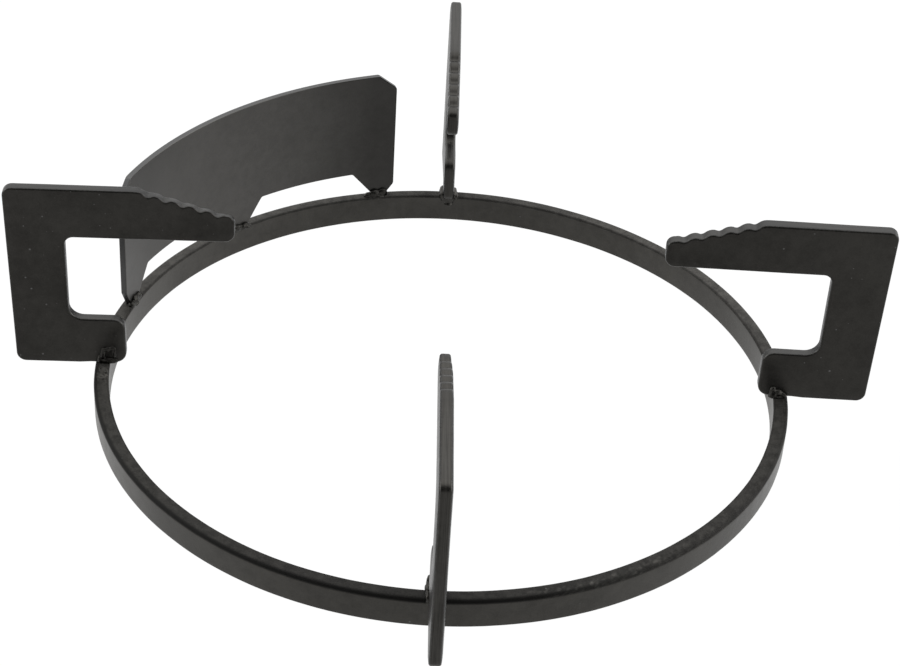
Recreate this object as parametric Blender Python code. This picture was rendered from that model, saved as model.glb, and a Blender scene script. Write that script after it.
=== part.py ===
"""Wok ring: a flat-bar ring with four C-shaped plate arms and one curved guard
plate, all fillet welded and coated black.

Units are metres. +Z is up. The origin is the centre of the ring, on the plane
that the ring stands on. The front arm points along -Y and the rear arm along +Y.
Every arm stands on the ring's top face; nothing reaches below the ring.
"""
import math

import bmesh
import bpy
from mathutils import Vector

# ---------------------------------------------------------------- dimensions
MM = 0.001
GAP = 0.3 * MM  # clearance kept between neighbouring solids

# ring: flat bar bent on edge and closed
RING_R = 110.0 * MM  # outer radius
RING_W = 4.7 * MM  # radial width of the bar
RING_H = 9.7 * MM  # height of the bar
RING_EDGE_TOP = 0.85 * MM  # rounding of its outer top corner
RING_EDGE = 0.45 * MM  # and of the other three
RING_STEPS = 144

# arms: C-shaped profile cut from plate, drawn as radius against height
ARM_T = 4.1 * MM
ARM_EDGE = 0.45 * MM  # tumbled edge
ARM_R_OUT = 135.1 * MM  # outer upright edge, at its top
ARM_R_FOOT = 134.2 * MM  # and at its foot
ARM_TOP = 72.9 * MM
ARM_FOOT = RING_H + GAP
FOOT_OUT = 9.3 * MM  # its lower edge outside the ring hangs a little lower
FOOT_STEP = (111.0 * MM, 114.5 * MM)
WINDOW_R = 117.1 * MM  # upright edge of the C's opening
WINDOW_TOP = 55.8 * MM
WINDOW_LOW = 26.0 * MM
LUG_R = 99.9 * MM  # inner end of the lower limb, inside the ring's bore
NOSE_R = 65.5 * MM  # inner end of the upper limb
SLOPE_R = 94.1 * MM  # where the wok slope starts
SLOPE_TOP = 72.7 * MM
SLOPE_END_R = 68.1 * MM
SLOPE_FALL = 0.2846  # fall of the slope for each unit of radius
WAVES = 5  # scallops that grip the wok
WAVE_RISE = 0.42 * MM
WAVE_SKEW = 0.35
OUTER_CORNER = 3.0 * MM
WINDOW_CORNER_TOP = 2.7 * MM
WINDOW_CORNER_LOW = 4.4 * MM
LUG_CORNER = 3.7 * MM
NOSE_CORNER_TOP = 2.5 * MM
NOSE_CORNER_LOW = 3.1 * MM

# where each arm was welded: heading of its plane in degrees, how far that plane
# passes to the left of the ring's centre, how far out the arm was slid, and how
# far its top leans to the left
ARM_PLACES = {
    "arm_right": (-0.81, -3.06 * MM, 0.0 * MM, 0.0 * MM),
    "arm_rear": (90.07, -0.24 * MM, 1.1 * MM, 0.7 * MM),
    "arm_left": (182.08, 0.54 * MM, 0.2 * MM, 0.0 * MM),
    "arm_front": (-89.39, -1.26 * MM, 3.1 * MM, -0.1 * MM),
}
# the torch didn't cut the top edges square: change of height at the right-hand
# and the left-hand side, on the level part and at the nose
ARM_BEVEL = {
    "arm_right": (-0.50 * MM, 0.08 * MM, -0.30 * MM, 0.05 * MM),
    "arm_left": (0.0 * MM, 0.0 * MM, -1.20 * MM, 0.0 * MM),
}

# guard plate: a rolled sheet on three feet; its free top edge is a little
# flatter than its foot line. Each arc: centre x, y, radius of the inner face,
# and the headings of its two ends.
PLATE_T = 2.0 * MM
FOOT_ARC = (7.5 * MM, -6.1 * MM, 115.2 * MM, 103.73, 165.1)
TOP_ARC = (14.4 * MM, -11.8 * MM, 122.5 * MM, 106.24, 164.0)
PLATE_LENGTH = 123.44 * MM
PLATE_TOP = 57.5 * MM
PLATE_FOOT = RING_H + GAP
# the two upper corners, right-hand one first: (along, down) of each chamfer and
# the rounding at its ends
PLATE_CHAMFER = ((6.3 * MM, 5.2 * MM), (6.4 * MM, 4.9 * MM))
CHAMFER_CORNER = (1.4 * MM, 2.6 * MM)
NOTCH_TOP = 19.1 * MM  # top edge of the two cut-outs between the feet
NOTCH_FROM = (15.2 * MM, 15.8 * MM)  # ends of each cut-out's top edge, right-hand
NOTCH_TO = (50.9 * MM, 50.8 * MM)  # one first, measured from the near plate end
NOTCH_LEAN_END = (0.84, 0.74)  # lean of a cut-out's sides, beside the end feet
NOTCH_LEAN_MID = (0.69, 0.57)  # and beside the middle foot
HEEL_UP = (3.9 * MM, 6.0 * MM)  # small chamfer at the outer heel of each end foot
HEEL_IN = (3.2 * MM, 3.3 * MM)
HEEL_CORNER = (1.9 * MM, 1.5 * MM)
PLATE_CORNER = 1.1 * MM
PLATE_COLUMNS = 44

# weld beads: name -> arm, side (+1 is the left side of the arm's heading),
# radius where it starts and ends, reach off the plate, reach up the plate
ARM_WELDS = {
    "weld_right_front": ("arm_right", -1, 102.2, 110.6, 2.6, 4.8),
    "weld_right_back": ("arm_right", 1, 102.6, 110.6, 2.4, 4.0),
    "weld_rear_left": ("arm_rear", 1, 103.0, 111.0, 2.3, 3.4),
    "weld_rear_right": ("arm_rear", -1, 103.0, 110.4, 2.0, 2.6),
    "weld_left_front": ("arm_left", 1, 102.4, 110.6, 2.7, 5.2),
    "weld_left_back": ("arm_left", -1, 102.6, 110.6, 2.4, 4.0),
    "weld_front_left": ("arm_front", -1, 103.4, 111.6, 1.9, 5.4),
    "weld_front_right": ("arm_front", 1, 103.0, 110.8, 1.7, 2.6),
}
# beads on the inner side of the guard's feet: distance along the plate from its
# right-hand end, half length, reach inwards, reach up
PLATE_WELDS = {
    "weld_guard_right": (6.2, 4.0, 2.4, 2.6),
    "weld_guard_middle": (61.8, 5.0, 1.9, 2.2),
    "weld_guard_left": (117.2, 4.2, 2.2, 2.6),
}

BLACK = (0.030, 0.029, 0.028)
BLACK_GUARD = (0.042, 0.041, 0.040)
BLACK_WELD = (0.024, 0.022, 0.020)


# ------------------------------------------------------------------- helpers
def clear_scene():
    for obj in list(bpy.data.objects):
        bpy.data.objects.remove(obj, do_unlink=True)


def coated(name, colour, roughness, metallic):
    mat = bpy.data.materials.new(name)
    mat.use_nodes = True
    bsdf = mat.node_tree.nodes["Principled BSDF"]
    bsdf.inputs["Base Color"].default_value = (*colour, 1.0)
    bsdf.inputs["Roughness"].default_value = roughness
    bsdf.inputs["Metallic"].default_value = metallic
    mat.diffuse_color = (*colour, 1.0)
    return mat


def as_object(name, bm, mat, smooth_deg=35.0, recalc=True):
    bm.normal_update()
    if recalc:
        bmesh.ops.recalc_face_normals(bm, faces=bm.faces)
    mesh = bpy.data.meshes.new(name)
    bm.to_mesh(mesh)
    bm.free()
    mesh.materials.append(mat)
    mesh.shade_smooth()
    mesh.set_sharp_from_angle(angle=math.radians(smooth_deg))
    obj = bpy.data.objects.new(name, mesh)
    bpy.context.scene.collection.objects.link(obj)
    return obj


def rounded(corners, steps=6):
    """Outline through (x, y, radius) corners, each replaced by its arc."""
    points = []
    count = len(corners)
    for i, (x, y, radius) in enumerate(corners):
        here = Vector((x, y))
        if radius <= 0.0:
            points.append(here)
            continue
        back = Vector(corners[i - 1][:2]) - here
        ahead = Vector(corners[(i + 1) % count][:2]) - here
        back.normalize()
        ahead.normalize()
        half = back.angle(ahead) / 2.0
        centre = here + (back + ahead).normalized() * (radius / math.sin(half))
        start = here + back * (radius / math.tan(half))
        end = here + ahead * (radius / math.tan(half))
        a0 = math.atan2(start.y - centre.y, start.x - centre.x)
        a1 = math.atan2(end.y - centre.y, end.x - centre.x)
        turn = (a1 - a0 + math.pi) % (2.0 * math.pi) - math.pi
        for k in range(steps + 1):
            a = a0 + turn * k / steps
            points.append(centre + Vector((math.cos(a), math.sin(a))) * radius)
    return points


# ---------------------------------------------------------------------- ring
def make_ring(mat):
    inner, outer = RING_R - RING_W, RING_R
    section = rounded(
        [
            (outer, 0.0, RING_EDGE),
            (outer, RING_H, RING_EDGE_TOP),
            (inner, RING_H, RING_EDGE),
            (inner, 0.0, RING_EDGE),
        ],
        steps=2,
    )
    bm = bmesh.new()
    verts = [bm.verts.new((p.x, 0.0, p.y)) for p in section]
    edges = [bm.edges.new((verts[i - 1], verts[i])) for i in range(len(verts))]
    bmesh.ops.spin(
        bm,
        geom=verts + edges,
        cent=(0.0, 0.0, 0.0),
        axis=(0.0, 0.0, 1.0),
        angle=2.0 * math.pi,
        steps=RING_STEPS,
        use_duplicate=False,
    )
    bmesh.ops.remove_doubles(bm, verts=bm.verts, dist=1e-6)
    return as_object("ring_bar", bm, mat, 50.0)


# ---------------------------------------------------------------------- arms
def slope_height(r):
    """Height of the wavy wok slope at radius r: a falling line with skewed
    scallops, each a short drop and a longer, nearly level tread."""
    phase = 2.0 * math.pi * WAVES * (SLOPE_R - r) / (SLOPE_R - SLOPE_END_R)
    wave = math.cos(phase - WAVE_SKEW * math.sin(phase))
    return SLOPE_TOP - SLOPE_FALL * (SLOPE_R - r) - WAVE_RISE * (1.0 - wave)


def arm_outline():
    corners = [
        (FOOT_STEP[0], ARM_FOOT, 0.0),
        (FOOT_STEP[1], FOOT_OUT, 0.0),
        (ARM_R_FOOT, FOOT_OUT, OUTER_CORNER),
        (ARM_R_OUT, ARM_TOP, OUTER_CORNER),
        (SLOPE_R + 1.2 * MM, ARM_TOP, 0.0),
    ]
    steps = WAVES * 8
    for k in range(steps + 1):
        r = SLOPE_R + (SLOPE_END_R - SLOPE_R) * k / steps
        corners.append((r, slope_height(r), 0.0))
    nose_top = slope_height(SLOPE_END_R)
    arc = 5
    for k in range(1, arc + 1):  # quarter ellipse round the nose's upper corner
        a = math.pi / 2.0 * k / arc
        corners.append(
            (
                NOSE_R + (SLOPE_END_R - NOSE_R) * (1.0 - math.sin(a)),
                nose_top - NOSE_CORNER_TOP * (1.0 - math.cos(a)),
                0.0,
            )
        )
    corners += [
        (NOSE_R, WINDOW_TOP, NOSE_CORNER_LOW),
        (WINDOW_R, WINDOW_TOP, WINDOW_CORNER_TOP),
        (WINDOW_R, WINDOW_LOW, WINDOW_CORNER_LOW),
        (LUG_R, WINDOW_LOW, LUG_CORNER),
        (LUG_R, ARM_FOOT, LUG_CORNER),
    ]
    return rounded(corners, steps=5)


def cut_shape(name, co):
    """Moves one point of an arm's square-cut slab: the lean of the arm, and the
    bevel that the torch left along its top."""
    share = (co.z - ARM_FOOT) / (ARM_TOP - ARM_FOOT)
    if name in ARM_BEVEL:
        level_right, level_left, nose_right, nose_left = ARM_BEVEL[name]
        inward = min(1.0, max(0.0, (SLOPE_R - co.x) / (SLOPE_R - NOSE_R)))
        right = level_right + (nose_right - level_right) * inward
        left = level_left + (nose_left - level_left) * inward
        side = 0.5 + co.y / ARM_T
        top = ARM_TOP if co.x > SLOPE_R else slope_height(max(co.x, SLOPE_END_R))
        start = WINDOW_TOP + 4.0 * MM
        up = min(1.0, max(0.0, (co.z - start) / (top - start)))
        co.z += up * (right + (left - right) * side)
    co.y += share * ARM_PLACES[name][3]


def place_on_ring(obj, heading, shift, slide):
    turn = math.radians(heading)
    c, s = math.cos(turn), math.sin(turn)
    obj.location = (slide * c - shift * s, slide * s + shift * c, 0.0)
    obj.rotation_euler = (0.0, 0.0, turn)


def make_arm(name, mat):
    bm = bmesh.new()
    outline = arm_outline()
    face = bm.faces.new([bm.verts.new((p.x, -ARM_T / 2.0, p.y)) for p in outline])
    grown = bmesh.ops.extrude_face_region(bm, geom=[face])
    moved = [g for g in grown["geom"] if isinstance(g, bmesh.types.BMVert)]
    bmesh.ops.translate(bm, verts=moved, vec=(0.0, ARM_T, 0.0))
    for vert in bm.verts:
        cut_shape(name, vert.co)
    obj = as_object(name, bm, mat, 40.0)
    bevel = obj.modifiers.new("tumbled_edge", "BEVEL")
    bevel.width = ARM_EDGE
    bevel.segments = 2
    bevel.limit_method = "ANGLE"
    bevel.angle_limit = math.radians(60.0)
    bevel.use_clamp_overlap = False
    heading, shift, slide, _ = ARM_PLACES[name]
    place_on_ring(obj, heading, shift, slide)
    return obj


# --------------------------------------------------------------- guard plate
def plate_point(along, z, depth):
    """Point of the rolled sheet: distance along it, height, distance outwards."""
    share = (z - PLATE_FOOT) / (PLATE_TOP - PLATE_FOOT)
    ends = []
    for cx, cy, radius, first, last in (FOOT_ARC, TOP_ARC):
        a = math.radians(first + (last - first) * along / PLATE_LENGTH)
        ends.append(
            Vector((cx + (radius + depth) * math.cos(a), cy + (radius + depth) * math.sin(a)))
        )
    spot = ends[0].lerp(ends[1], share)
    return Vector((spot.x, spot.y, z))


def plate_outline():
    """Flat pattern of the guard: a strip with two cut-outs and three feet."""
    length = PLATE_LENGTH
    tall = NOTCH_TOP - PLATE_FOOT
    halves = []
    for k in (0, 1):
        start, end = NOTCH_FROM[k], NOTCH_TO[k]
        halves.append(
            [
                (0.0, PLATE_FOOT + HEEL_UP[k], HEEL_CORNER[k]),
                (HEEL_IN[k], PLATE_FOOT, 0.0),
                (start - NOTCH_LEAN_END[k] * tall, PLATE_FOOT, 0.0),
                (start, NOTCH_TOP, PLATE_CORNER),
                (end, NOTCH_TOP, PLATE_CORNER),
                (end + NOTCH_LEAN_MID[k] * tall, PLATE_FOOT, 0.0),
            ]
        )
    lower = halves[0] + [(length - x, y, r) for x, y, r in reversed(halves[1])]
    (right_in, right_down), (left_in, left_down) = PLATE_CHAMFER
    upper = [
        (length, PLATE_TOP - left_down, CHAMFER_CORNER[1]),
        (length - left_in, PLATE_TOP, CHAMFER_CORNER[1]),
        (right_in, PLATE_TOP, CHAMFER_CORNER[0]),
        (0.0, PLATE_TOP - right_down, CHAMFER_CORNER[0]),
    ]
    return rounded(lower + upper, steps=4)


def make_plate(mat):
    bm = bmesh.new()
    outline = plate_outline()
    face = bm.faces.new([bm.verts.new((p.x, 0.0, p.y)) for p in outline])
    grown = bmesh.ops.extrude_face_region(bm, geom=[face])
    moved = [g for g in grown["geom"] if isinstance(g, bmesh.types.BMVert)]
    bmesh.ops.translate(bm, verts=moved, vec=(0.0, PLATE_T, 0.0))
    bmesh.ops.recalc_face_normals(bm, faces=bm.faces)
    for k in range(1, PLATE_COLUMNS):
        bmesh.ops.bisect_plane(
            bm,
            geom=list(bm.verts) + list(bm.edges) + list(bm.faces),
            dist=1e-7,
            plane_co=(PLATE_LENGTH * k / PLATE_COLUMNS, 0.0, 0.0),
            plane_no=(1.0, 0.0, 0.0),
        )
    for vert in bm.verts:
        vert.co = plate_point(vert.co.x, vert.co.z, vert.co.y)
    # rolling the flat pattern round the ring mirrors it, so its faces turn over
    bmesh.ops.reverse_faces(bm, faces=bm.faces)
    return as_object("guard_plate", bm, mat, 30.0, recalc=False)


# --------------------------------------------------------------------- welds
def bead(half_length, reach, rise, swell=0.0):
    """A fillet bead in a corner: a quarter of an ellipsoid, with its two flat
    sides kept one gap away from the faces it joins. Local x runs along the
    joint, y away from the plate and z up it."""
    bm = bmesh.new()
    bmesh.ops.create_icosphere(bm, subdivisions=3, radius=1.0)
    for vert in bm.verts:
        ripple = 1.0 + swell * math.sin(3.0 * math.pi * vert.co.x)
        vert.co = Vector(
            (vert.co.x * half_length, vert.co.y * reach * ripple, vert.co.z * rise * ripple)
        )
    for normal in ((0.0, -1.0, 0.0), (0.0, 0.0, -1.0)):
        cut = bmesh.ops.bisect_plane(
            bm,
            geom=list(bm.verts) + list(bm.edges) + list(bm.faces),
            dist=1e-7,
            plane_co=(-normal[0] * GAP, -normal[1] * GAP, -normal[2] * GAP),
            plane_no=normal,
            clear_outer=True,
        )
        rim = [g for g in cut["geom_cut"] if isinstance(g, bmesh.types.BMEdge)]
        bmesh.ops.holes_fill(bm, edges=rim, sides=0)
    return bm


def make_arm_weld(name, mat):
    arm, side, start, end, reach, rise = ARM_WELDS[name]
    heading, shift = ARM_PLACES[arm][:2]
    bm = bead((end - start) / 2.0 * MM, reach * MM, rise * MM, 0.06)
    for vert in bm.verts:
        vert.co = Vector(
            (
                (start + end) / 2.0 * MM + vert.co.x,
                side * (ARM_T / 2.0 + vert.co.y),
                RING_H + vert.co.z,
            )
        )
    obj = as_object(name, bm, mat, 40.0)
    place_on_ring(obj, heading, shift, 0.0)
    return obj


def make_plate_weld(name, mat):
    along, half_length, reach, rise = PLATE_WELDS[name]
    bm = bead(half_length * MM, reach * MM, rise * MM, 0.06)
    for vert in bm.verts:
        vert.co = plate_point(along * MM + vert.co.x, RING_H + vert.co.z, -vert.co.y)
    return as_object(name, bm, mat, 40.0)


# ---------------------------------------------------------------------- main
def main():
    clear_scene()
    steel = coated("coated_steel_arms", BLACK, 0.50, 0.0)
    ring = coated("coated_steel_ring", BLACK, 0.45, 0.0)
    guard = coated("coated_steel_guard", BLACK_GUARD, 0.40, 0.0)
    weld = coated("weld_metal", BLACK_WELD, 0.55, 0.0)
    made = [make_ring(ring)]
    made += [make_arm(name, steel) for name in ARM_PLACES]
    made.append(make_plate(guard))
    made += [make_arm_weld(name, weld) for name in ARM_WELDS]
    made += [make_plate_weld(name, weld) for name in PLATE_WELDS]
    root = bpy.data.objects.new("wok_ring", None)
    bpy.context.scene.collection.objects.link(root)
    for obj in made:
        obj.parent = root


main()
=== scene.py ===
"""Looks of the wok ring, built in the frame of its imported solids.

Row frame, metres: origin in the centre of the ring on the plane it stands on,
+Z up, rear arm on +Y, front arm on -Y, right arm on +X. Lengths below are
written in millimetres and multiplied by MM.
"""
import math

import bmesh
import bpy
import numpy as np
from mathutils import Matrix, Vector, noise


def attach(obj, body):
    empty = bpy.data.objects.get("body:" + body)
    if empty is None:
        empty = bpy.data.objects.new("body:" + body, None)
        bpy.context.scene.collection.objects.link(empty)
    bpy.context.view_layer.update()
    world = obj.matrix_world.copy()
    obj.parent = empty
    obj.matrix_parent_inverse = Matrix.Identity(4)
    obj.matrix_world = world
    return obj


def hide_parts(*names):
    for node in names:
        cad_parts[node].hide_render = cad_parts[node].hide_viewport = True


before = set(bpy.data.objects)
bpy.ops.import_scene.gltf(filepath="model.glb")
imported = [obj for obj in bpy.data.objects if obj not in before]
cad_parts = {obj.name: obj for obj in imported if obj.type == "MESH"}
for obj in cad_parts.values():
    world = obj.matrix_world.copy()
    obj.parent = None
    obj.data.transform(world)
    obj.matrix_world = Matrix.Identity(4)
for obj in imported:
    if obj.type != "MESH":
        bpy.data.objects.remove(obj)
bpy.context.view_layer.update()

MM = 0.001
TAU = 2.0 * math.pi

# ---------------------------------------------------------------- dimensions
RING_R, RING_W, RING_H = 110.0, 4.7, 9.7
RING_EDGES = (0.45, 1.50, 0.90, 0.45)  # outer foot, outer top, inner top, inner foot

ARM_T, ARM_EDGE = 4.1, 0.8
ARM_DOME, ARM_DOME_REACH = 0.26, 3.0  # the faces fall away towards the cut edges
ARM_FOOT = 9.6  # welded down: it meets the ring's top face
FOOT_OUT, FOOT_STEP = 9.32, (111.0, 114.5)
CUT_BASE = 10.0  # height from which an arm's lean is measured
ARM_R_OUT, ARM_R_FOOT, ARM_TOP = 135.04, 134.2, 72.84
WINDOW_R, WINDOW_TOP, WINDOW_LOW = 117.1, 55.8, 26.0
LUG_R, NOSE_R = 99.9, 65.5
SLOPE_R, SLOPE_TOP, SLOPE_END_R, SLOPE_FALL = 94.1, 72.66, 68.1, 0.2846
WAVES, WAVE_RISE, WAVE_SKEW = 5, 0.42, 0.35
OUTER_CORNER, WINDOW_CORNER_TOP, WINDOW_CORNER_LOW = 3.0, 2.7, 4.4
LUG_CORNER, NOSE_CORNER_TOP, NOSE_CORNER_LOW = 3.7, 2.5, 3.1

# heading in degrees; shift to the left, slide outwards and lean of the top to
# the left, in mm
ARM_PLACES = {
    "arm_right": (-0.81, -3.06, 0.0, 0.0),
    "arm_rear": (90.07, -0.24, 1.1, 0.7),
    "arm_left": (182.08, 0.54, 0.2, 0.0),
    "arm_front": (-89.39, -1.26, 3.1, -0.1),
}
# rise of the top over its nominal height: level part right and left, nose right
# and left, in mm
ARM_BEVEL = {
    "arm_right": (-0.50, 0.08, -0.30, 0.05),
    "arm_left": (0.0, 0.0, -1.20, 0.0),
}
EVEN_BACK = {"arm_left": 0.65}  # share of the waves that its back edge lacks
DEEP_FRONT = {"arm_left": 0.6}  # share by which the waves of its front edge are deeper
REAR_TWIST = 0.9  # how far the foot of the rear arm's outer edge stands left
FRONT_NOSE_CUT = 0.55  # what the nose of the front arm lacks on its right

PLATE_T, PLATE_EDGE = 2.0, 0.32
FOOT_ARC = (7.5, -6.1, 115.2, 103.73, 165.1)
TOP_ARC = (14.4, -11.8, 122.5, 106.24, 164.0)
PLATE_LENGTH, PLATE_TOP, PLATE_FOOT = 123.44, 57.47, 9.6
PLATE_BASE = 10.0  # height at which the foot arc was measured
PLATE_CHAMFER = ((6.3, 5.2), (6.4, 4.9))  # right and left: along, down
CHAMFER_CORNER = (1.4, 2.6)
NOTCH_TOP, NOTCH_FROM, NOTCH_TO = 19.1, (15.2, 15.8), (50.9, 50.8)
NOTCH_LEAN_END, NOTCH_LEAN_MID = (0.84, 0.74), (0.69, 0.57)
HEEL_UP, HEEL_IN, HEEL_CORNER, PLATE_CORNER = (4.3, 6.4), (3.2, 3.3), (1.9, 1.5), 1.1


# ------------------------------------------------------------------ geometry
def rounded(corners, steps=8):
    """Outline through (x, y, radius) corners, each replaced by its arc."""
    points = []
    count = len(corners)
    for i, (x, y, radius) in enumerate(corners):
        here = Vector((x, y))
        if radius <= 0.0:
            points.append(here)
            continue
        back = (Vector(corners[i - 1][:2]) - here).normalized()
        ahead = (Vector(corners[(i + 1) % count][:2]) - here).normalized()
        half = back.angle(ahead) / 2.0
        centre = here + (back + ahead).normalized() * (radius / math.sin(half))
        start = here + back * (radius / math.tan(half))
        end = here + ahead * (radius / math.tan(half))
        a0 = math.atan2(start.y - centre.y, start.x - centre.x)
        a1 = math.atan2(end.y - centre.y, end.x - centre.x)
        turn = (a1 - a0 + math.pi) % TAU - math.pi
        for k in range(steps + 1):
            a = a0 + turn * k / steps
            points.append(centre + Vector((math.cos(a), math.sin(a))) * radius)
    return points


def slope_height(r):
    phase = TAU * WAVES * (SLOPE_R - r) / (SLOPE_R - SLOPE_END_R)
    wave = math.cos(phase - WAVE_SKEW * math.sin(phase))
    return SLOPE_TOP - SLOPE_FALL * (SLOPE_R - r) - WAVE_RISE * (1.0 - wave)


def arm_outline():
    corners = [
        (FOOT_STEP[0], ARM_FOOT, 0.0),
        (FOOT_STEP[1], FOOT_OUT, 0.0),
        (ARM_R_FOOT, FOOT_OUT, OUTER_CORNER),
        (ARM_R_OUT, ARM_TOP, OUTER_CORNER),
        (SLOPE_R + 1.6, ARM_TOP, 0.0),
        (SLOPE_R + 0.7, ARM_TOP - 0.05, 0.0),
    ]
    steps = WAVES * 14
    for k in range(steps + 1):
        r = SLOPE_R + (SLOPE_END_R - SLOPE_R) * k / steps
        corners.append((r, slope_height(r), 0.0))
    nose_top = slope_height(SLOPE_END_R)
    arc = 9
    for k in range(1, arc + 1):
        a = math.pi / 2.0 * k / arc
        corners.append(
            (
                NOSE_R + (SLOPE_END_R - NOSE_R) * (1.0 - math.sin(a)),
                nose_top - NOSE_CORNER_TOP * (1.0 - math.cos(a)),
                0.0,
            )
        )
    corners += [
        (NOSE_R, WINDOW_TOP, NOSE_CORNER_LOW),
        (WINDOW_R, WINDOW_TOP, WINDOW_CORNER_TOP),
        (WINDOW_R, WINDOW_LOW, WINDOW_CORNER_LOW),
        (LUG_R, WINDOW_LOW, LUG_CORNER),
        (LUG_R, ARM_FOOT, LUG_CORNER),
    ]
    return rounded(corners)


def plate_outline():
    length = PLATE_LENGTH
    tall = NOTCH_TOP - PLATE_FOOT
    halves = []
    for k in (0, 1):
        start, end = NOTCH_FROM[k], NOTCH_TO[k]
        halves.append(
            [
                (0.0, PLATE_FOOT + HEEL_UP[k], HEEL_CORNER[k]),
                (HEEL_IN[k], PLATE_FOOT, 0.5),
                (start - NOTCH_LEAN_END[k] * tall, PLATE_FOOT, 0.6),
                (start, NOTCH_TOP, PLATE_CORNER),
                (end, NOTCH_TOP, PLATE_CORNER),
                (end + NOTCH_LEAN_MID[k] * tall, PLATE_FOOT, 0.6),
            ]
        )
    lower = halves[0] + [(length - x, y, r) for x, y, r in reversed(halves[1])]
    (right_in, right_down), (left_in, left_down) = PLATE_CHAMFER
    upper = [
        (length, PLATE_TOP - left_down, CHAMFER_CORNER[1]),
        (length - left_in, PLATE_TOP, CHAMFER_CORNER[1]),
        (right_in, PLATE_TOP, CHAMFER_CORNER[0]),
        (0.0, PLATE_TOP - right_down, CHAMFER_CORNER[0]),
    ]
    return rounded(lower + upper)


def plate_point(along, z, depth):
    """Point in mm of the rolled sheet: along it, height, distance outwards."""
    share = (z - PLATE_BASE) / (PLATE_TOP - PLATE_BASE)
    ends = []
    for cx, cy, radius, first, last in (FOOT_ARC, TOP_ARC):
        a = math.radians(first + (last - first) * along / PLATE_LENGTH)
        ends.append(
            Vector((cx + (radius + depth) * math.cos(a), cy + (radius + depth) * math.sin(a)))
        )
    spot = ends[0].lerp(ends[1], share)
    return Vector((spot.x, spot.y, z))


def cut_shape(name, r, t, z):
    """Lean of an arm, and the bevel that the torch left along its top."""
    share = (z - CUT_BASE) / (ARM_TOP - CUT_BASE)
    inside = min(SLOPE_R, max(SLOPE_END_R, r))
    top = ARM_TOP if r > SLOPE_R else slope_height(inside)
    start = WINDOW_TOP + 4.0
    up = min(1.0, max(0.0, (z - start) / (top - start)))
    side = 0.5 + t / ARM_T
    if name in ARM_BEVEL:
        level_right, level_left, nose_right, nose_left = ARM_BEVEL[name]
        inward = min(1.0, max(0.0, (SLOPE_R - r) / (SLOPE_R - NOSE_R)))
        right = level_right + (nose_right - level_right) * inward
        left = level_left + (nose_left - level_left) * inward
        z += up * (right + (left - right) * side)
    if name in EVEN_BACK and r < SLOPE_R:
        ripple = slope_height(inside) - (SLOPE_TOP - SLOPE_FALL * (SLOPE_R - inside) - WAVE_RISE)
        z -= up * EVEN_BACK[name] * min(1.0, max(0.0, 1.0 - side)) * ripple
        z += up * DEEP_FRONT[name] * min(1.0, max(0.0, side)) * ripple
    if name == "arm_rear":
        t += REAR_TWIST * (1.0 - share) * min(1.0, max(0.0, (r - 112.0) / 23.0))
    if name == "arm_front" and t > 0.0:
        t -= FRONT_NOSE_CUT * min(1.0, max(0.0, (77.0 - r) / 11.5)) * t / (ARM_T / 2.0)
    return t + share * ARM_PLACES[name][3], z


def arm_point(name, cut=True):
    """Maps (radius, sideways, height) in mm of one arm to the row frame, mm."""
    heading, shift, slide, _ = ARM_PLACES[name]
    c, s = math.cos(math.radians(heading)), math.sin(math.radians(heading))

    def place(r, t, z):
        if cut:
            t, z = cut_shape(name, r, t, z)
            r += slide
        return Vector((c * r - s * (t + shift), s * r + c * (t + shift), z))

    return place


def signed_volume(bm):
    total = 0.0
    for face in bm.faces:
        a = face.verts[0].co
        for i in range(1, len(face.verts) - 1):
            total += a.dot(face.verts[i].co.cross(face.verts[i + 1].co))
    return total / 6.0


def outline_distance(points, outline):
    """Distance of each (x, z) point from a closed outline."""
    a = np.array([(p.x, p.y) for p in outline])
    b = np.roll(a, -1, axis=0)
    span = b - a
    length = (span**2).sum(axis=1) + 1e-12
    away = points[:, None, :] - a[None]
    share = np.clip((away * span).sum(axis=2) / length, 0.0, 1.0)
    gap = away - share[..., None] * span
    return np.sqrt((gap**2).sum(axis=2).min(axis=1))


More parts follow.
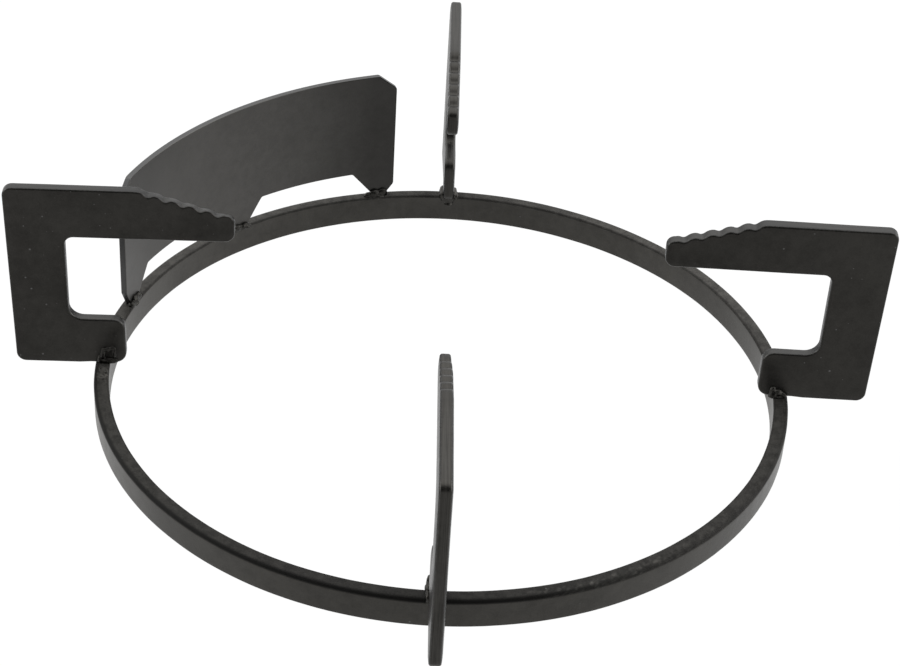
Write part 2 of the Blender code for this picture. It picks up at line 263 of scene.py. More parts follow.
def slab(outline, thickness, edge, cells, place, wave, steps=6, dome=0.0, reach=3.0):
    """A cut plate with rounded edges. outline is in its own plane (x, z), mm;
    cells are the spacings of the cuts that give its faces enough points to be
    slightly uneven. Two attributes are written: rim is 1 along the rounded
    edges, cut is 1 on the cut faces between them."""
    count = len(outline)
    area = sum(outline[i - 1].cross(outline[i]) for i in range(count))
    if area < 0.0:
        outline = outline[::-1]
    clean = []
    for p in outline:
        if not clean or (p - clean[-1]).length > 1e-4:
            clean.append(p)
    if (clean[0] - clean[-1]).length <= 1e-4:
        clean.pop()
    fine = []
    for a, b in zip(clean, clean[1:] + clean[:1]):
        pieces = max(1, math.ceil((b - a).length / min(cells)))
        fine += [a.lerp(b, k / pieces) for k in range(pieces)]
    clean = fine
    count = len(clean)
    inward = []
    for i in range(count):
        a = (clean[i] - clean[i - 1]).normalized()
        b = (clean[(i + 1) % count] - clean[i]).normalized()
        n = Vector((-a.y, a.x)) + Vector((-b.y, b.x))
        n.normalize()
        inward.append(n / max(0.5, n.dot(Vector((-a.y, a.x)))))
    rows = []
    for side in (-1.0, 1.0):
        angles = range(steps, -1, -1) if side < 0 else range(steps + 1)
        for k in angles:
            phi = math.pi / 2.0 * k / steps
            inset = edge * (1.0 - math.cos(phi))
            y = side * (thickness / 2.0 - dome - edge + edge * math.sin(phi))
            rows.append((inset, y))
    bm = bmesh.new()
    loops = []
    for inset, y in rows:
        loops.append(
            [bm.verts.new((p.x + n.x * inset, y, p.y + n.y * inset)) for p, n in zip(clean, inward)]
        )
    for lower, upper in zip(loops, loops[1:]):
        for i in range(count):
            bm.faces.new((lower[i - 1], lower[i], upper[i], upper[i - 1]))
    for broad_face in (bm.faces.new(loops[0][::-1]), bm.faces.new(loops[-1])):
        broad_face.material_index = 1  # marks what is cut into cells below
    xs = [p.x for p in clean]
    zs = [p.y for p in clean]
    for axis, low, high, step in ((0, min(xs), max(xs), cells[0]), (2, min(zs), max(zs), cells[1])):
        number = max(1, round((high - low) / step))
        for k in range(1, number):
            at = [0.0, 0.0, 0.0]
            at[axis] = low + (high - low) * k / number
            way = [0.0, 0.0, 0.0]
            way[axis] = 1.0
            broad_faces = [f for f in bm.faces if f.material_index == 1]
            bmesh.ops.bisect_plane(
                bm,
                geom=list({v for f in broad_faces for v in f.verts})
                + list({e for f in broad_faces for e in f.edges})
                + broad_faces,
                dist=1e-5,
                plane_co=at,
                plane_no=way,
            )
    for face in bm.faces:
        face.material_index = 0
    bmesh.ops.remove_doubles(bm, verts=bm.verts, dist=0.03)
    bmesh.ops.triangulate(
        bm, faces=[f for f in bm.faces if len(f.verts) > 4], ngon_method="BEAUTY"
    )
    rim = bm.verts.layers.float.new("rim")
    cut = bm.verts.layers.float.new("cut")
    flat = bm.verts.layers.float_vector.new("flat")
    if dome > 0.0:
        level = thickness / 2.0 - dome - 1e-5
        faced = [v for v in bm.verts if abs(v.co.y) >= level]
        gaps = outline_distance(np.array([(v.co.x, v.co.z) for v in faced]), clean)
        for vert, gap in zip(faced, gaps):
            fall = min(1.0, max(0.0, 1.0 - (gap - edge) / reach)) ** 2
            vert.co.y = math.copysign(thickness / 2.0 - dome * fall, vert.co.y)
    for vert in bm.verts:
        depth = max(0.0, thickness / 2.0 - dome - abs(vert.co.y)) / edge
        share = min(1.0, max(0.0, depth))
        vert[rim] = 4.0 * share * (1.0 - share) if depth < 1.0 else 0.0
        vert[cut] = min(1.0, max(0.0, (share - 0.25) / 0.5))
        vert[flat] = vert.co.copy()
    for vert in bm.verts:
        vert.co = place(vert.co.x, vert.co.y, vert.co.z)
    if signed_volume(bm) < 0.0:
        bmesh.ops.reverse_faces(bm, faces=bm.faces)
    bm.normal_update()
    broad, broad_size, local, local_size, seed = wave
    moves = []
    for vert in bm.verts:
        a = noise.noise(vert.co / broad_size + Vector((seed, 0.0, 0.0)))
        b = noise.noise(vert.co / local_size + Vector((0.0, seed, 0.0)))
        moves.append(vert.normal * (broad * a + local * b))
    for vert, move in zip(bm.verts, moves):
        vert.co += move
    return bm


def spot_falloff(co, spots):
    """1 beside a given spot, falling to 0 some way off: the spots are welds, heat scale and one painted shade."""
    return max(
        (math.exp(-(((co - Vector(p)).length / reach) ** 2)) for p, reach in spots), default=0.0
    )


def finish_mesh(name, bm, mat, spots=(), shade=180.0, flat_faces=True):
    """Turns mm into metres, adds the attribute of weld heat and painted shade and makes the object."""
    heat = bm.verts.layers.float.get("heat") or bm.verts.layers.float.new("heat")
    for vert in bm.verts:
        vert[heat] = spot_falloff(vert.co, spots)
        vert.co *= MM
    if bm.verts.layers.float.get("painted_light_and_wear") is None:
        painted_light_and_wear = bm.verts.layers.float.new("painted_light_and_wear")
        for vert in bm.verts:
            vert[painted_light_and_wear] = 1.0
    bm.normal_update()
    mesh = bpy.data.meshes.new(name)
    bm.to_mesh(mesh)
    bm.free()
    mesh.materials.append(mat)
    mesh.shade_smooth()
    obj = bpy.data.objects.new(name, mesh)
    bpy.context.scene.collection.objects.link(obj)
    if flat_faces:
        even = obj.modifiers.new("even_faces", "WEIGHTED_NORMAL")
        even.mode = "FACE_AREA"
        even.weight = 60
        even.keep_sharp = False
    return obj


# ----------------------------------------------------------------- materials
class Tree:
    """Short-hand for building a node tree."""

    def __init__(self, name):
        self.mat = bpy.data.materials.new(name)
        self.mat.use_nodes = True
        self.tree = self.mat.node_tree
        self.bsdf = self.tree.nodes["Principled BSDF"]

    def add(self, kind, inputs=(), **settings):
        made = self.tree.nodes.new(kind)
        for key, value in settings.items():
            setattr(made, key, value)
        for key, value in dict(inputs).items():
            self.put(made.inputs[key], value)
        return made

    def put(self, socket, value):
        if isinstance(value, bpy.types.NodeSocket):
            self.tree.links.new(value, socket)
        else:
            socket.default_value = value

    def maths(self, operation, a, b=None, c=None, clamp=False):
        made = self.tree.nodes.new("ShaderNodeMath")
        made.operation = operation
        made.use_clamp = clamp
        for socket, value in zip(made.inputs, (a, b, c)):
            if value is not None:
                self.put(socket, value)
        return made.outputs[0]

    def ramp(self, value, low, high, to_low=0.0, to_high=1.0, smooth=True):
        made = self.tree.nodes.new("ShaderNodeMapRange")
        made.interpolation_type = "SMOOTHSTEP" if smooth else "LINEAR"
        self.put(made.inputs["Value"], value)
        made.inputs["From Min"].default_value = low
        made.inputs["From Max"].default_value = high
        made.inputs["To Min"].default_value = to_low
        made.inputs["To Max"].default_value = to_high
        return made.outputs[0]

    def blend(self, share, a, b):
        made = self.tree.nodes.new("ShaderNodeMix")
        made.data_type = "RGBA"
        self.put(made.inputs[0], share)
        self.put(made.inputs[6], a)
        self.put(made.inputs[7], b)
        return made.outputs[2]

    def noise(self, where, scale, detail=2.0, rough=0.5):
        made = self.tree.nodes.new("ShaderNodeTexNoise")
        self.put(made.inputs["Vector"], where)
        made.inputs["Scale"].default_value = scale
        made.inputs["Detail"].default_value = detail
        made.inputs["Roughness"].default_value = rough
        return made.outputs[0]

    def attribute(self, name):
        made = self.tree.nodes.new("ShaderNodeAttribute")
        made.attribute_name = name
        return made


def tinted(value, tint):
    return (value * tint[0], value * tint[1], value * tint[2], 1.0)


def coated(name, seed, gloss, spread, rough, specks, tint, streak=0.0, grain=1.0, rub_and_painted_highlight=0.5, edge_gain=1.0, crown=None):
    """Dark satin coat over steel, seen by what it reflects: gloss is its mean
    reflectance head on and spread how far its mottling strays from that, as a
    share. specks is how many pale dust grains it has. edge_gain multiplies the
    gloss of the cut faces. crown is the gloss and roughness of a face that the
    crown attribute marks."""
    t = Tree(name)
    coords = t.add("ShaderNodeTexCoord").outputs["Object"]
    place = t.add(
        "ShaderNodeVectorMath", {0: coords, 1: (1000.0, 1000.0, 1000.0)}, operation="MULTIPLY"
    ).outputs[0]
    place = t.add("ShaderNodeVectorMath", {0: place, 1: (seed, seed * 1.7, -seed)}, operation="ADD").outputs[0]
    broad = t.noise(place, 0.045, 3.0, 0.55)
    patch = t.noise(place, 0.33, 3.0, 0.6)
    fine = t.noise(place, 1.9, 3.0, 0.6)
    grit = t.noise(place, 5.5, 2.0, 0.5)
    rim = t.attribute("rim").outputs["Fac"]
    cut = t.attribute("cut").outputs["Fac"]
    heat = t.attribute("heat").outputs["Fac"]

    mottle = t.maths("ADD", t.maths("MULTIPLY", broad, 0.40), t.maths("MULTIPLY", patch, 0.35))
    mottle = t.maths("ADD", mottle, t.maths("MULTIPLY", fine, 0.25))
    mottle = t.ramp(mottle, 0.32, 0.68)
    low, high = gloss * (1.0 - spread), gloss * (1.0 + spread)
    colour = t.blend(mottle, tinted(low, tint), tinted(high, tint))
    if crown is not None:
        top = t.attribute("crown").outputs["Fac"]
        blotch = t.ramp(t.maths("ADD", t.maths("MULTIPLY", patch, 0.6), t.maths("MULTIPLY", fine, 0.4)), 0.36, 0.64)
        dull = t.blend(blotch, tinted(crown[0] * 0.65, tint), tinted(crown[0] * 1.35, tint))
        # on the ring the cut attribute holds painted shade along the rolled top corners, darkened here
        dull = t.blend(cut, dull, tinted(crown[0] * 0.25, tint))
        colour = t.blend(top, colour, dull)
    # the gain attribute scales the colour: painted light on the ring's sides and back top and along the guard, real
    # scuffs and weld spatter on the ring
    painted_light_and_wear = t.attribute("painted_light_and_wear").outputs["Fac"]
    scaled = t.add("ShaderNodeVectorMath", {0: colour}, operation="SCALE")
    t.put(scaled.inputs["Scale"], painted_light_and_wear)
    colour = scaled.outputs[0]
    if edge_gain != 1.0:
        colour = t.blend(cut, colour, tinted(gloss * edge_gain, (1.0, 1.0, 1.0)))
    if streak > 0.0:
        # drawn lines along the cut faces: they only vary across the thickness
        own = t.attribute("flat").outputs["Vector"]
        lines = t.add(
            "ShaderNodeVectorMath", {0: own, 1: (0.045, 3.2, 0.045)}, operation="MULTIPLY"
        ).outputs[0]
        lines = t.noise(lines, 1.0, 3.0, 0.6)
        drawn = t.maths("MULTIPLY", t.ramp(lines, 0.36, 0.66, 0.0, 1.0), cut)
        colour = t.blend(t.maths("MULTIPLY", drawn, 0.30 * min(1.6, streak)), colour, tinted(gloss * 2.1, tint))

    # browner, darker coat close to a weld, and painted shade where the attribute marks the front arm's outer top corner
    burnt_and_painted_shade = t.ramp(t.maths("ADD", heat, t.maths("MULTIPLY", t.maths("SUBTRACT", patch, 0.5), 0.7)), 0.25, 0.85)
    brown = (tint[0] * 1.06, tint[1], tint[2] * 0.9)
    colour = t.blend(t.maths("MULTIPLY", burnt_and_painted_shade, 0.55), colour, tinted(gloss * 0.50, brown))

    # rubbed edges: wear, and a painted highlight along the rounded edges
    worn_and_painted_highlight = t.ramp(
        t.maths("ADD", t.maths("MULTIPLY", rim, 0.62), t.maths("MULTIPLY", fine, 0.55)), 0.74, 0.98
    )
    worn_and_painted_highlight = t.maths("MULTIPLY", worn_and_painted_highlight, rub_and_painted_highlight)
    colour = t.blend(worn_and_painted_highlight, colour, tinted(gloss * 3.0, (1.0, 1.0, 1.0)))

    # dust grains: two sizes
    dusts = None
    for scale, radius, keep in ((0.24, 0.11, specks), (0.62, 0.15, specks * 0.3)):
        cells = t.tree.nodes.new("ShaderNodeTexVoronoi")
        cells.feature = "F1"
        t.put(cells.inputs["Vector"], place)
        cells.inputs["Scale"].default_value = scale
        split = t.add("ShaderNodeSeparateColor", {0: cells.outputs["Color"]})
        size = t.maths("MULTIPLY", t.ramp(split.outputs[1], 0.0, 1.0, 0.35, 1.0, False), radius)
        inside = t.maths("SUBTRACT", size, cells.outputs["Distance"])
        dot = t.ramp(inside, 0.0, radius * 0.5)
        chosen = t.maths("LESS_THAN", split.outputs[0], keep)
        dot = t.maths("MULTIPLY", dot, chosen)
        dusts = dot if dusts is None else t.maths("MAXIMUM", dusts, dot)
    colour = t.blend(t.maths("MULTIPLY", dusts, 0.55), colour, tinted(0.12, (1.0, 1.0, 1.0)))
    t.put(t.bsdf.inputs["Base Color"], colour)

    r = t.maths("ADD", rough, t.maths("MULTIPLY", t.maths("SUBTRACT", patch, 0.5), 0.16))
    if crown is not None:
        r = t.maths("ADD", r, t.maths("MULTIPLY", top, crown[1] - rough))
    r = t.maths("ADD", r, t.maths("MULTIPLY", t.maths("SUBTRACT", fine, 0.5), 0.10))
    r = t.maths("ADD", r, t.maths("MULTIPLY", burnt_and_painted_shade, 0.06))
    r = t.maths("SUBTRACT", r, t.maths("MULTIPLY", worn_and_painted_highlight, 0.08), clamp=True)
    t.put(t.bsdf.inputs["Roughness"], r)
    if crown is None:
        t.bsdf.inputs["Metallic"].default_value = 1.0
    else:
        t.put(t.bsdf.inputs["Metallic"], t.maths("SUBTRACT", 1.0, top, clamp=True))
        t.bsdf.inputs["Specular IOR Level"].default_value = 0.05

    height = t.maths("ADD", t.maths("MULTIPLY", fine, 0.5 * grain), t.maths("MULTIPLY", grit, 0.35 * grain))
    height = t.maths("ADD", height, t.maths("MULTIPLY", patch, 0.9 * grain))
    height = t.maths("ADD", height, t.maths("MULTIPLY", dusts, 0.6))
    if streak > 0.0:
        height = t.maths("ADD", height, t.maths("MULTIPLY", t.maths("MULTIPLY", lines, cut), streak))
    bump = t.add("ShaderNodeBump", {"Height": height})
    bump.inputs["Strength"].default_value = 1.0
    bump.inputs["Distance"].default_value = 0.000035
    t.put(t.bsdf.inputs["Normal"], bump.outputs[0])
    return t


# ---------------------------------------------------------------------- ring
def make_ring(spots):
    inner, outer = RING_R - RING_W, RING_R
    corners = [
        (outer, 0.0, RING_EDGES[0]),
        (outer, RING_H, RING_EDGES[1]),
        (inner, RING_H, RING_EDGES[2]),
        (inner, 0.0, RING_EDGES[3]),
    ]
    coarse = rounded(corners, steps=7)
    section = []
    for a, b in zip(coarse, coarse[1:] + coarse[:1]):
        pieces = max(1, math.ceil((b - a).length / 0.9))
        section += [a.lerp(b, k / pieces) for k in range(pieces)]
    steps = 840
    bm = bmesh.new()
    rim = bm.verts.layers.float.new("rim")
    cut = bm.verts.layers.float.new("cut")
    flat = bm.verts.layers.float_vector.new("flat")
    crown = bm.verts.layers.float.new("crown")
    painted_light_and_wear = bm.verts.layers.float.new("painted_light_and_wear")
    middle = inner + RING_W / 2.0
    spatter = arm_point("arm_left", False)(106.2, 7.6, RING_H)
    loops = []
    for k in range(steps):
        a = TAU * k / steps
        c, s = math.cos(a), math.sin(a)
        out = 0.10 * noise.noise(Vector((c * 1.6, s * 1.6, 3.1))) + 0.045 * noise.noise(
            Vector((c * 9.0, s * 9.0, 8.2))
        )
        tall = 0.05 * noise.noise(Vector((c * 5.0, s * 5.0, 1.7)))
        lean = 0.006 * noise.noise(Vector((c * 2.3, s * 2.3, 5.5)))
        loop = []
        for p in section:
            z = p.y
            if z > RING_H / 2.0:
                z += tall
            r = p.x + out + lean * (z - RING_H / 2.0)
            r += 0.02 * noise.noise(Vector((r * c / 3.0, r * s / 3.0, z / 2.0)))
            vert = bm.verts.new((r * c, r * s, max(z, 0.0)))
            gap = min(
                (p - Vector((x, y))).length for x, y, _ in corners
            )
            vert[rim] = min(1.0, max(0.0, 1.0 - (gap - 0.25) / 0.55))
            radius = RING_EDGES[1] if p.x > middle else RING_EDGES[2]
            below = (RING_H - p.y) / radius
            vert[crown] = min(1.0, max(0.0, (0.95 - below) / 0.25))
            # painted shade along the rolled top corners: a dark band, sharp in front, faint behind and on the right
            painted_shade_band = 0.5
            if p.x > middle:
                painted_shade_band = (1.0 - 0.85 * min(1.0, max(0.0, (s + 0.1) / 0.4))) * (
                    1.0 - 0.65 * min(1.0, max(0.0, (c - 0.25) / 0.25))
                )
            vert[cut] = painted_shade_band * min(1.0, max(0.0, below / 0.15)) * vert[crown]
            # painted light: the ring's left and right sides are painted up to half again as reflective as its front and
            # back
            vert[painted_light_and_wear] = 0.93 + 0.50 * c * c
            # painted highlight: the top of the ring is painted lighter towards the back
            if p.y > RING_H - 1.3:
                vert[painted_light_and_wear] += 1.2 * min(1.0, max(0.0, s / 0.6)) * vert[crown]
            if p.x > middle and p.y > RING_H - 1.1 and s < 0.0 and 0.20 < c < 0.80:
                # rubbed by pans
                scuff = noise.noise(Vector((r * c / 1.3, r * s / 1.3, 7.0 + z / 0.6)))
                fade = min(1.0, (c - 0.20) / 0.1, (0.80 - c) / 0.25)
                vert[painted_light_and_wear] += 3.6 * fade * max(0.0, scuff - 0.12)
            near = (Vector((r * c, r * s, z)) - spatter).length
            if near < 6.0 and p.y > RING_H - 0.3:
                loose = noise.noise(Vector((r * c / 0.8, r * s / 0.8, 4.0)))
                vert[painted_light_and_wear] += 5.0 * math.exp(-((near / 3.0) ** 2)) * min(1.0, max(0.0, 0.5 + 2.0 * loose))
            vert[flat] = Vector((a * RING_R, p.x - inner, z))
            loop.append(vert)
        loops.append(loop)
    count = len(section)
    for k in range(steps):
        here, ahead = loops[k], loops[(k + 1) % steps]
        for i in range(count):
            bm.faces.new((here[i - 1], here[i], ahead[i], ahead[i - 1]))
    if signed_volume(bm) < 0.0:
        bmesh.ops.reverse_faces(bm, faces=bm.faces)
    return bm


# --------------------------------------------------------------------- welds
# Each bead is a heap of overlapping drops of metal, given in the flat frame of
# its joint: centre, then half sizes, all in mm. Along an arm the frame is
# (radius, sideways, height); along the guard it is (along, height, outwards).
ARM_BEADS = {
    "weld_left_front": (
        "arm_left",
        [
            (107.3, 2.05, 13.4, 0.9, 1.00, 2.2),
            (106.3, 2.00, 15.0, 1.5, 0.85, 0.9),
            (103.7, 2.05, 13.9, 0.8, 0.90, 2.0),
            (104.4, 1.95, 15.3, 1.2, 0.75, 0.9),
            (105.6, 1.95, 10.7, 3.2, 0.85, 1.2),
            (108.4, 1.95, 11.2, 0.9, 0.75, 1.5),
            (105.8, 7.40, 9.70, 0.60, 0.75, 0.42),
            (106.5, 10.6, 9.70, 0.42, 0.42, 0.30),
            (107.9, 5.00, 9.70, 0.38, 0.45, 0.26),
        ],
    ),
    "weld_left_back": (
        "arm_left",
        [
            (104.4, -2.1, 11.0, 1.7, 1.0, 2.2),
            (107.2, -2.1, 10.8, 2.2, 1.2, 2.1),
            (109.3, -2.1, 10.3, 1.3, 1.0, 1.5),
        ],
    ),
    "weld_right_front": (
        "arm_right",
        [
            (104.7, -2.05, 11.3, 1.3, 1.00, 2.4),
            (106.4, -2.05, 10.9, 1.5, 1.10, 1.8),
            (108.1, -2.05, 10.4, 1.4, 0.95, 1.2),
            (106.1, -2.20, 9.95, 2.9, 1.05, 0.8),
            (107.0, -7.40, 9.70, 0.35, 0.45, 0.24),
        ],
    ),
    "weld_right_back": (
        "arm_right",
        [
            (104.6, 2.1, 11.0, 1.8, 1.0, 2.1),
            (107.0, 2.1, 10.7, 2.1, 1.2, 2.0),
            (109.2, 2.1, 10.3, 1.3, 1.0, 1.4),
        ],
    ),
    "weld_front_left": (
        "arm_front",
        [
            (104.9, -2.00, 12.0, 1.3, 0.85, 2.4),
            (106.6, -2.10, 10.9, 1.8, 1.10, 1.8),
            (108.9, -2.10, 10.3, 1.8, 1.00, 1.2),
            (109.9, -2.05, 9.2, 0.8, 0.80, 1.4),
        ],
    ),
    "weld_front_right": (
        "arm_front",
        [
            (106.3, 2.1, 10.5, 2.0, 0.85, 1.4),
            (108.9, 2.1, 10.2, 1.6, 0.80, 1.0),
        ],
    ),
    "weld_rear_left": (
        "arm_rear",
        [
            (107.2, 2.15, 10.7, 2.7, 1.20, 1.9),
            (105.1, 2.10, 10.3, 1.5, 1.10, 1.7),
            (110.0, 2.15, 10.0, 1.2, 1.00, 1.4),
            (105.0, 0.20, 8.8, 1.10, 2.5, 1.9),
            (104.8, -0.20, 7.0, 1.30, 1.7, 0.8),
        ],
    ),
    "weld_rear_right": (
        "arm_rear",
        [
            (107.2, -2.1, 10.4, 2.8, 1.05, 1.5),
            (105.3, -2.9, 9.8, 1.1, 0.85, 1.3),
        ],
    ),
}
PLATE_BEADS = {
    "weld_guard_right": [
        (4.0, 10.5, -0.1, 1.9, 1.9, 1.35),
        (6.9, 10.4, -0.2, 2.0, 1.7, 1.5),
        (9.3, 9.9, -0.2, 1.6, 1.2, 1.2),
        (5.6, 9.3, -1.2, 2.2, 0.8, 0.9),
    ],
    "weld_guard_middle": [
        (61.6, 10.2, -0.1, 2.3, 1.4, 1.1),
        (63.9, 9.9, -0.3, 1.8, 0.9, 1.2),
        (58.6, 10.0, -0.2, 2.2, 1.3, 1.3),
        (57.6, 9.7, -0.8, 1.6, 0.7, 1.0),
    ],
    "weld_guard_left": [
        (115.4, 10.3, -0.1, 1.8, 1.6, 1.1),
        (117.8, 10.4, -0.2, 1.9, 1.8, 1.3),
        (120.2, 9.9, -0.3, 1.5, 1.3, 1.2),
        (118.4, 9.3, -1.0, 1.8, 0.8, 0.8),
    ],
}


def weld_mesh(name, drops, place, seed):
    """Fuses the drops of one bead, ripples them and lays them in place."""
    bm = bmesh.new()
    for cx, cy, cz, sx, sy, sz in drops:
        made = bmesh.ops.create_icosphere(bm, subdivisions=3, radius=1.0)["verts"]
        for vert in made:
            vert.co = Vector((cx + vert.co.x * sx, cy + vert.co.y * sy, cz + vert.co.z * sz))
    mesh = bpy.data.meshes.new(name + "_drops")
    bm.to_mesh(mesh)
    bm.free()
    heap = bpy.data.objects.new(name + "_drops", mesh)
    bpy.context.scene.collection.objects.link(heap)
    fuse = heap.modifiers.new("fuse", "REMESH")
    fuse.mode = "VOXEL"
    fuse.voxel_size = 0.17
    fuse.use_smooth_shade = True
    graph = bpy.context.evaluated_depsgraph_get()
    graph.update()
    fused = bpy.data.meshes.new_from_object(heap.evaluated_get(graph))
    bpy.data.objects.remove(heap, do_unlink=True)
    bm = bmesh.new()
    bm.from_mesh(fused)
    bpy.data.meshes.remove(fused)
    for _ in range(5):
        bmesh.ops.smooth_vert(
            bm, verts=bm.verts, factor=0.5, use_axis_x=True, use_axis_y=True, use_axis_z=True
        )
    bm.normal_update()
    shift = Vector((seed, -seed, seed * 0.5))
    moves = []
    for vert in bm.verts:
        ripple = 0.14 * noise.noise(vert.co / 1.1 + shift) + 0.05 * noise.noise(vert.co / 0.42 - shift)
        moves.append(vert.normal * ripple)
    for vert, move in zip(bm.verts, moves):
        vert.co += move
    for layer in ("rim", "cut"):
        bm.verts.layers.float.new(layer)
    flat = bm.verts.layers.float_vector.new("flat")
    for vert in bm.verts:
        vert[flat] = vert.co.copy()
        vert.co = place(vert.co.x, vert.co.y, vert.co.z)
    if signed_volume(bm) < 0.0:
        bmesh.ops.reverse_faces(bm, faces=bm.faces)
    return bm


# ----------------------------------------------------------------- assembly
def show(obj, node):
    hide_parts(node)
    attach(obj, "root")


def weld_and_painted_shade_spots():
    spots = []
    for name in ARM_PLACES:
        place = arm_point(name, False)
        for side in (-1.0, 1.0):
            spots.append((tuple(place(106.5, side * ARM_T / 2.0, ARM_FOOT)), 8.0))
    for along in (6.2, 61.8, 117.2):
        spots.append((tuple(plate_point(along, PLATE_FOOT, 0.0)), 8.0))
    # scale left by the heat higher up on two of the arms, and painted shade on the front arm's outer top corner
    spots.append((tuple(arm_point("arm_right", False)(103.5, -2.05, 17.5)), 6.5))
    spots.append((tuple(arm_point("arm_left", False)(101.5, 2.05, 18.0)), 5.0))
    # painted shade: darkens the rounded outer top corner of the front arm
    spots.append((tuple(arm_point("arm_front", False)(133.0, 0.0, 70.0)), 6.0))
    return spots


SPOTS = weld_and_painted_shade_spots()

GREY = (1.04, 1.0, 0.92)
PLAIN_GREY = (1.03, 1.0, 0.95)

ring_mat = coated("coated_ring", 3.0, 0.043, 0.20, 0.40, 0.10, GREY, grain=1.2, rub_and_painted_highlight=0.0, crown=(0.017, 0.55))
guard_mat = coated("coated_guard", 11.0, 0.0325, 0.14, 0.36, 0.03, PLAIN_GREY, streak=0.6, grain=0.6, rub_and_painted_highlight=0.3, edge_gain=1.9)
arm_mats = {
    "arm_right": coated("coated_arm_right", 21.0, 0.0265, 0.22, 0.38, 0.30, GREY, streak=1.4, rub_and_painted_highlight=0.35, edge_gain=1.35),
    "arm_rear": coated("coated_arm_rear", 37.0, 0.0265, 0.22, 0.38, 0.20, GREY, streak=1.4, rub_and_painted_highlight=0.35),
    "arm_left": coated("coated_arm_left", 53.0, 0.0265, 0.22, 0.38, 0.95, GREY, streak=1.4, rub_and_painted_highlight=0.35, edge_gain=1.2),
    "arm_front": coated("coated_arm_front", 71.0, 0.0265, 0.22, 0.38, 0.40, GREY, streak=1.6, rub_and_painted_highlight=0.35),
}

ring = finish_mesh("ring_bar_coated", make_ring(SPOTS), ring_mat.mat, SPOTS, flat_faces=False)
show(ring, "ring_bar")

for index, name in enumerate(ARM_PLACES):
    bm = slab(
        arm_outline(),
        ARM_T,
        ARM_EDGE,
        (1.2, 1.2),
        arm_point(name),
        (0.05, 30.0, 0.012, 5.0, 9.0 * index),
        dome=ARM_DOME,
        reach=ARM_DOME_REACH,
    )
    obj = finish_mesh(name + "_coated", bm, arm_mats[name].mat, SPOTS, flat_faces=False)
    show(obj, name)

bm = slab(
    plate_outline(),
    PLATE_T,
    PLATE_EDGE,
    (1.4, 2.4),
    lambda x, y, z: plate_point(x, z, y + PLATE_T / 2.0),
    (0.05, 28.0, 0.010, 6.0, 60.0),
)
# painted light: the guard's reflectance rises from its right end to 48 mm along and falls back by half past 85 mm,
# standing in for how the light falls on it
painted_light_and_wear = bm.verts.layers.float.new("painted_light_and_wear")
flat = bm.verts.layers.float_vector["flat"]
for vert in bm.verts:  # painted light: the coat is painted glossier towards the guard's left half
    along = vert[flat].x
    vert[painted_light_and_wear] = 1.0 + min(1.0, max(0.0, (along - 8.0) / 40.0)) - 0.5 * min(1.0, max(0.0, (along - 85.0) / 35.0))
guard = finish_mesh("guard_plate_coated", bm, guard_mat.mat, SPOTS)
show(guard, "guard_plate")

weld_mat = coated("weld_coat", 90.0, 0.027, 0.40, 0.38, 0.0, GREY, grain=1.2, rub_and_painted_highlight=0.0)
# painted light: a lighter copy of the weld coat, used for the rear arm's welds only
painted_light_weld_mat = coated("painted_light_weld_coat", 95.0, 0.037, 0.30, 0.42, 0.0, GREY, grain=1.2, rub_and_painted_highlight=0.0)
for index, (node, (arm, drops)) in enumerate(ARM_BEADS.items()):
    bm = weld_mesh(node, drops, arm_point(arm, False), 7.0 * index)
    metal = painted_light_weld_mat if arm == "arm_rear" else weld_mat
    show(finish_mesh(node + "_metal", bm, metal.mat, flat_faces=False), node)
for index, (node, drops) in enumerate(PLATE_BEADS.items()):
    bm = weld_mesh(node, drops, plate_point, 100.0 + 7.0 * index)
    show(finish_mesh(node + "_metal", bm, weld_mat.mat, flat_faces=False), node)


# ----------------------------------------------------------------- floor
def make_floor():
    bm = bmesh.new()
    rings, sides = 24, 96
    middle = bm.verts.new((0.0, 0.0, 0.0))
    last = None
    for k in range(1, rings + 1):
        radius = 3.2 * (k / rings) ** 1.6
        loop = [
            bm.verts.new((radius * math.cos(TAU * i / sides), radius * math.sin(TAU * i / sides), 0.0))
            for i in range(sides)
        ]
        for i in range(sides):
            if last is None:
                bm.faces.new((middle, loop[i - 1], loop[i]))
            else:
                bm.faces.new((last[i - 1], loop[i - 1], loop[i], last[i]))
        last = loop
    mesh = bpy.data.meshes.new("studio_floor")
    bm.to_mesh(mesh)
    bm.free()
    t = Tree("studio_floor")
    t.bsdf.inputs["Base Color"].default_value = (0.02, 0.02, 0.02, 1.0)
    t.bsdf.inputs["Roughness"].default_value = 0.9
    t.bsdf.inputs["Specular IOR Level"].default_value = 0.0
    t.bsdf.inputs["Emission Color"].default_value = (1.0, 1.0, 1.0, 1.0)
    t.bsdf.inputs["Emission Strength"].default_value = 1.0  # a lit white table
    mesh.materials.append(t.mat)
    floor = bpy.data.objects.new("studio_floor", mesh)
    floor.location = (0.0, 0.0, -0.00005)
    bpy.context.scene.collection.objects.link(floor)


make_floor()


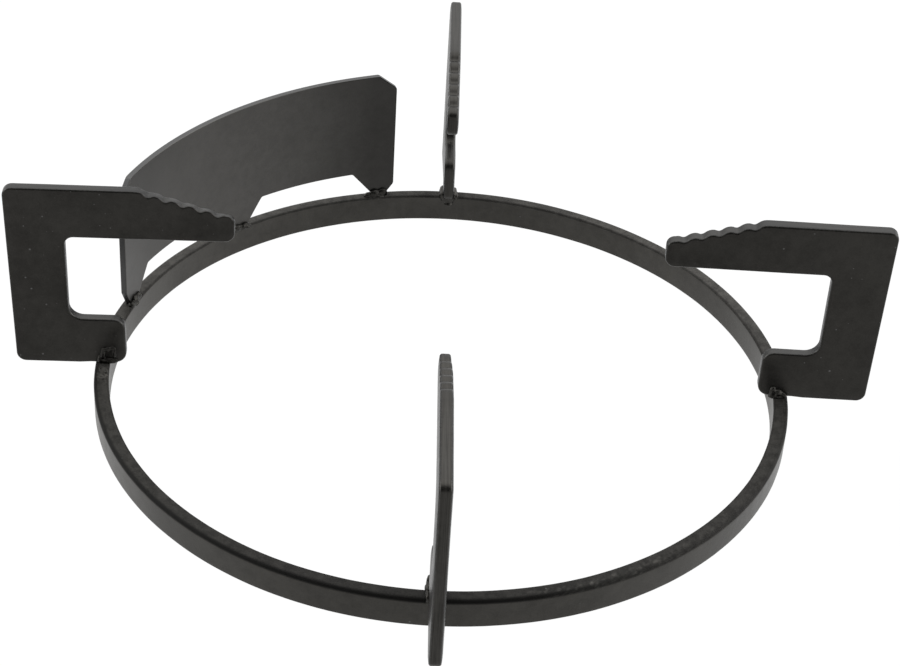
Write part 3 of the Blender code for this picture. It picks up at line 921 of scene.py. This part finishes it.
# ---------------------------------------------------------------- lighting
def make_world():
    """A soft studio dome: an even white horizon, a broad softbox overhead that
    reaches down behind the object, and a dark room above the camera's side."""
    world = bpy.data.worlds.new("studio")
    bpy.context.scene.world = world
    world.use_nodes = True
    tree = world.node_tree
    back = tree.nodes["Background"]
    coords = tree.nodes.new("ShaderNodeTexCoord")
    split = tree.nodes.new("ShaderNodeSeparateXYZ")
    tree.links.new(coords.outputs["Generated"], split.inputs[0])

    def ramp(value, low, high, a, b, smooth=True):
        made = tree.nodes.new("ShaderNodeMapRange")
        made.interpolation_type = "SMOOTHSTEP" if smooth else "LINEAR"
        tree.links.new(value, made.inputs["Value"])
        made.inputs["From Min"].default_value = low
        made.inputs["From Max"].default_value = high
        for key, given in (("To Min", a), ("To Max", b)):
            if isinstance(given, bpy.types.NodeSocket):
                tree.links.new(given, made.inputs[key])
            else:
                made.inputs[key].default_value = given
        return made.outputs[0]

    overhead = ramp(split.outputs[2], 0.0, 0.78, 0.12, 2.76, False)
    side = ramp(split.outputs[1], -0.62, 0.06, 0.05, overhead)
    light = ramp(split.outputs[2], 0.10, 0.35, 1.0, side)

    # two low softboxes, left and right
    def maths(operation, a, b=None):
        made = tree.nodes.new("ShaderNodeMath")
        made.operation = operation
        for socket, value in zip(made.inputs, (a, b)):
            if isinstance(value, bpy.types.NodeSocket):
                tree.links.new(value, socket)
            elif value is not None:
                socket.default_value = value
        return made.outputs[0]

    panel = ramp(maths("ABSOLUTE", split.outputs[0]), 0.70, 0.90, 0.0, 3.0)
    panel = maths("MULTIPLY", panel, ramp(split.outputs[2], 0.03, 0.14, 0.0, 1.0))
    panel = maths("MULTIPLY", panel, ramp(split.outputs[2], 0.42, 0.62, 1.0, 0.0))
    light = maths("ADD", light, panel)
    tree.links.new(light, back.inputs["Strength"])
    back.inputs["Color"].default_value = (1.0, 1.0, 1.0, 1.0)


make_world()


# ----------------------------------------------------------------- camera
def make_camera():
    """The photograph's camera, from its fit: elevation, roll and place."""
    e, roll, unit = 0.6080347, 0.0619863, 110.0 * MM
    offset = np.array([-0.0251295, 0.1730103, 6.1744918]) * unit
    ahead = np.array([0.0, math.cos(e), -math.sin(e)])
    right = np.array([1.0, 0.0, 0.0])
    down = np.cross(ahead, right)
    c, s = math.cos(roll), math.sin(roll)
    turn = np.array([[c, -s, 0.0], [s, c, 0.0], [0.0, 0.0, 1.0]]) @ np.array([right, down, ahead])
    spot = -turn.T @ offset
    swing = math.radians(-1.2)
    c, s = math.cos(swing), math.sin(swing)
    to_row = np.array([[c, -s, 0.0], [s, c, 0.0], [0.0, 0.0, 1.0]])
    x, y, z, at = to_row @ turn[0], to_row @ -turn[1], to_row @ -turn[2], to_row @ spot
    data = bpy.data.cameras.new("camera")
    data.sensor_fit = "HORIZONTAL"
    data.sensor_width = 36.0
    data.lens = 2111.778 / 900.0 * 36.0
    data.clip_start, data.clip_end = 0.01, 20.0
    camera = bpy.data.objects.new("camera", data)
    camera.matrix_world = Matrix(
        [[x[i], y[i], z[i], at[i]] for i in range(3)] + [[0.0, 0.0, 0.0, 1.0]]
    )
    bpy.context.scene.collection.objects.link(camera)
    bpy.context.scene.camera = camera


make_camera()

view = bpy.context.scene.view_settings
view.view_transform = "Standard"
view.look = "None"
view.exposure = 0.0
view.gamma = 1.0

bpy.context.view_layer.update()
